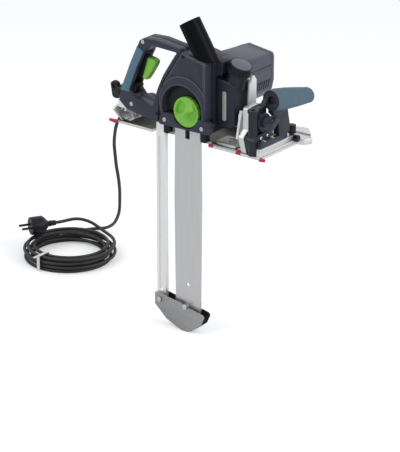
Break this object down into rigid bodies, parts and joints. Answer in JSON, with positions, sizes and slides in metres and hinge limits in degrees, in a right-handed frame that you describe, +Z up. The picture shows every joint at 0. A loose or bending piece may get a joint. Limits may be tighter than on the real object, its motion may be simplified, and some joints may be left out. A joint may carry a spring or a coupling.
{
  "type": "carpentry chain saw",
  "caption": "Corded long-bar carpentry chain saw on a tilting base: D-handle with trigger, motor, oil tank, dust spout, bar with support arm and nose guard, front grip, coiled lead.",
  "frame": {"origin": "the base's sole, beside the bar: level with the bar's centreline and 50 mm to the motor side of the bar's middle plane", "axes": "+X forward, the way the saw is pushed; +Y from the bar to the motor; +Z up, square to the sole"},
  "size_m": [0.6555, 0.2833, 0.5781],
  "materials": {
    "housing_plastic": "fine-textured glass-filled moulding",
    "motor_plastic": "fine-textured moulding",
    "black_plastic": "textured black moulding",
    "green_plastic": "satin moulding",
    "red_plastic": "satin moulding",
    "window_plastic": "translucent moulding",
    "tie_plastic": "nylon",
    "soft_grip": "soft-touch overmould",
    "cord_rubber": "rubber-sheathed cable",
    "base_casting": "die-cast, dark coated top",
    "die_cast": "die-cast and blasted",
    "light_grey": "die-cast, light grey coat",
    "aluminium": "extruded, anodised",
    "bar_steel": "ground steel",
    "guard_steel": "blasted sheet steel",
    "steel": "turned and plated steel",
    "brass": "drawn brass"
  },
  "bodies": {
    "base": {"base_plate": "base_casting", "splinter_guard": "red_plastic", "front_bracket": "die_cast", "front_clamp_housing": "black_plastic", "front_clamp_stud": "steel", "front_rail": "die_cast", "front_beam": "housing_plastic", "front_handle_frame": "black_plastic", "front_grip": "soft_grip", "rail_adapter": "die_cast", "rear_bracket": "die_cast", "rear_clamp_housing": "black_plastic", "rear_clamp_stud": "steel", "cut_pointer_front": "red_plastic", "cut_pointer_rear": "red_plastic", "mains_lead": "cord_rubber", "cord_coil": "cord_rubber", "mains_plug": "black_plastic", "cable_tie": "tie_plastic"},
    "machine": {"gear_housing": "housing_plastic", "chain_cover": "housing_plastic", "lower_cover": "housing_plastic", "handle_shell_near": "housing_plastic", "handle_shell_far": "housing_plastic", "rear_grip": "soft_grip", "motor_housing": "motor_plastic", "motor_end_cap": "motor_plastic", "stator": "steel", "brush_holder_back": "brass", "brush_holder_front": "brass", "oil_pump": "aluminium", "oil_tank": "black_plastic", "oil_window": "window_plastic", "guide_bar": "bar_steel", "support_arm": "aluminium", "tip_guard": "guard_steel", "tip_guard_far": "guard_steel", "guard_bolt_arm": "steel", "guard_bolt_nose": "steel", "switch": "black_plastic", "clamp_stud": "steel", "front_tilt_segment": "light_grey", "rear_tilt_segment": "light_grey", "cord_gland": "black_plastic"},
    "front_clamp_knob": {"front_clamp_knob": "black_plastic"},
    "rear_clamp_knob": {"rear_clamp_knob": "black_plastic"},
    "rail_clamp_knob": {"rail_clamp_knob": "black_plastic"},
    "guide_clamp_knob_front": {"guide_clamp_knob_front": "black_plastic"},
    "guide_clamp_knob_rear": {"guide_clamp_knob_rear": "black_plastic"},
    "trigger": {"trigger": "green_plastic"},
    "lock_off": {"lock_off": "green_plastic"},
    "tension_knob": {"tension_knob": "green_plastic"},
    "oil_cap": {"oil_cap": "black_plastic"},
    "dust_spout": {"dust_spout": "black_plastic"},
    "armature": {"armature": "steel"},
    "spindle": {"spindle": "steel", "reduction_gear": "steel", "drive_sprocket": "steel"},
    "nose_sprocket": {"nose_sprocket": "steel"}
  },
  "joints": [
    {"name": "bevel_tilt", "type": "hinge", "parent": "base", "child": "machine", "pos_m": [0, -0.05, 0], "axis": [1, 0, 0], "range_deg": [0, 60]},
    {"name": "front_clamp_turn", "type": "hinge", "parent": "base", "child": "front_clamp_knob", "pos_m": [0.1453, -0.027, 0.061], "axis": [1, 0, 0], "continuous": true},
    {"name": "rear_clamp_turn", "type": "hinge", "parent": "base", "child": "rear_clamp_knob", "pos_m": [-0.1583, -0.035, 0.055], "axis": [-1, 0, 0], "continuous": true},
    {"name": "rail_clamp_turn", "type": "hinge", "parent": "base", "child": "rail_clamp_knob", "pos_m": [0.1533, 0.0465, 0.0145], "axis": [1, 0, 0], "continuous": true},
    {"name": "guide_clamp_front_turn", "type": "hinge", "parent": "base", "child": "guide_clamp_knob_front", "pos_m": [0.149, 0.0445, 0.0203], "axis": [0, 0, 1], "continuous": true},
    {"name": "guide_clamp_rear_turn", "type": "hinge", "parent": "base", "child": "guide_clamp_knob_rear", "pos_m": [-0.153, 0.04, 0.0123], "axis": [0, 0, 1], "continuous": true},
    {"name": "trigger_squeeze", "type": "hinge", "parent": "machine", "child": "trigger", "pos_m": [-0.088, -0.05, 0.1425], "axis": [0, 1, 0], "range_deg": [0, 8], "stiffness_Nm_per_rad": 1, "springref_deg": -5.73},
    {"name": "lock_off_press", "type": "slide", "parent": "machine", "child": "lock_off", "axis": [0, -1, 0], "range_m": [0, 0.003], "stiffness_N_per_m": 800, "springref_m": -0.001},
    {"name": "tension_knob_turn", "type": "hinge", "parent": "machine", "child": "tension_knob", "pos_m": [0.005, -0.05, 0.058], "axis": [0, 1, 0], "continuous": true},
    {"name": "oil_cap_turn", "type": "hinge", "parent": "machine", "child": "oil_cap", "pos_m": [0.0775, -0.02, 0.1165], "axis": [0.3584, 0, 0.9336], "continuous": true},
    {"name": "spout_swivel", "type": "hinge", "parent": "machine", "child": "dust_spout", "pos_m": [0.034, -0.047, 0.15794], "axis": [0.1922, 0, 0.9814], "range_deg": [-90, 90]},
    {"name": "armature_spin", "type": "hinge", "parent": "machine", "child": "armature", "pos_m": [0.003, -0.05, 0.0805], "axis": [0, 1, 0], "continuous": true},
    {"name": "spindle_spin", "type": "hinge", "parent": "machine", "child": "spindle", "pos_m": [0.003, -0.05, 0.11], "axis": [0, 1, 0], "continuous": true},
    {"name": "nose_spin", "type": "hinge", "parent": "machine", "child": "nose_sprocket", "pos_m": [0, -0.05, -0.3037], "axis": [0, 1, 0], "continuous": true}
  ],
  "couplings": [
    {"joint": "spindle_spin", "follows": "armature_spin", "ratio": -0.3}
  ]
}
